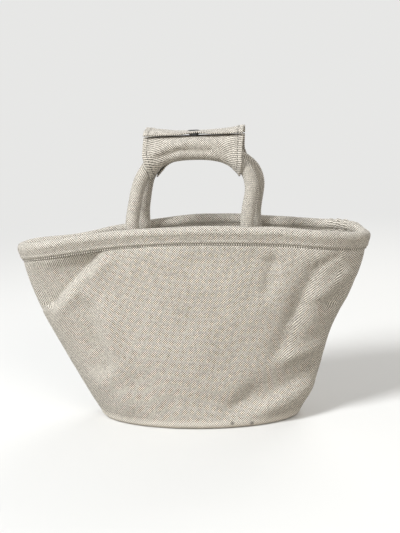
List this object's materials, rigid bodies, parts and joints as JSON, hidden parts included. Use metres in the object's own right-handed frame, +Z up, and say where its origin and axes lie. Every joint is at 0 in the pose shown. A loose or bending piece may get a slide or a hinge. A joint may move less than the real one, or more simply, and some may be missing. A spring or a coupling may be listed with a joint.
{
  "type": "market bag",
  "caption": "Soft oatmeal cloth market bag with an oval base, flaring body, corded rim and arched handles held together by a snap-closed cloth wrap.",
  "frame": {"origin": "middle of the base's underside, on the surface that the bag stands on", "axes": "+X along the rim's length, -Y towards the front that the picture shows, +Z up"},
  "size_m": [0.45, 0.133, 0.374],
  "materials": {
    "oatmeal_cloth": "coarse undyed plain weave",
    "lining_cloth": "plain undyed cotton",
    "cotton_filler": "soft cotton cord and wadding",
    "base_stiffener": "thin grey board",
    "snap_steel": "satin steel snap"
  },
  "bodies": {
    "bag": {"base_panel": "oatmeal_cloth", "base_board": "base_stiffener", "base_lining": "lining_cloth", "front_panel": "oatmeal_cloth", "back_panel": "oatmeal_cloth", "front_lining": "lining_cloth", "back_lining": "lining_cloth", "rim_binding_front": "oatmeal_cloth", "rim_binding_back": "oatmeal_cloth", "rim_cord_front": "cotton_filler", "rim_cord_back": "cotton_filler", "handle_end_front_left": "oatmeal_cloth", "handle_end_front_right": "oatmeal_cloth", "handle_end_back_left": "oatmeal_cloth", "handle_end_back_right": "oatmeal_cloth"},
    "front_handle": {"front_handle_sleeve": "oatmeal_cloth", "front_handle_core": "cotton_filler", "wrap_front_leaf": "oatmeal_cloth", "snap_stud": "snap_steel", "snap_post": "snap_steel"},
    "back_handle": {"back_handle_sleeve": "oatmeal_cloth", "back_handle_core": "cotton_filler", "wrap_back_leaf": "oatmeal_cloth"},
    "wrap_flap": {"wrap_flap": "oatmeal_cloth", "snap_cap": "snap_steel", "snap_socket": "snap_steel"}
  },
  "joints": [
    {"name": "front_handle_swing", "type": "hinge", "parent": "bag", "child": "front_handle", "pos_m": [0, -0.02948, 0.258], "axis": [1, 0, 0], "range_deg": [0, 80]},
    {"name": "back_handle_swing", "type": "hinge", "parent": "bag", "child": "back_handle", "pos_m": [0, 0.02948, 0.258], "axis": [-1, 0, 0], "range_deg": [0, 80]},
    {"name": "wrap_flap_open", "type": "hinge", "parent": "back_handle", "child": "wrap_flap", "pos_m": [0, 0.0213, 0.36038], "axis": [-1, 0, 0], "range_deg": [0, 120]}
  ],
  "couplings": [
    {"joint": "back_handle_swing", "follows": "front_handle_swing", "ratio": 1},
    {"joint": "wrap_flap_open", "follows": "front_handle_swing", "ratio": 1.5}
  ]
}
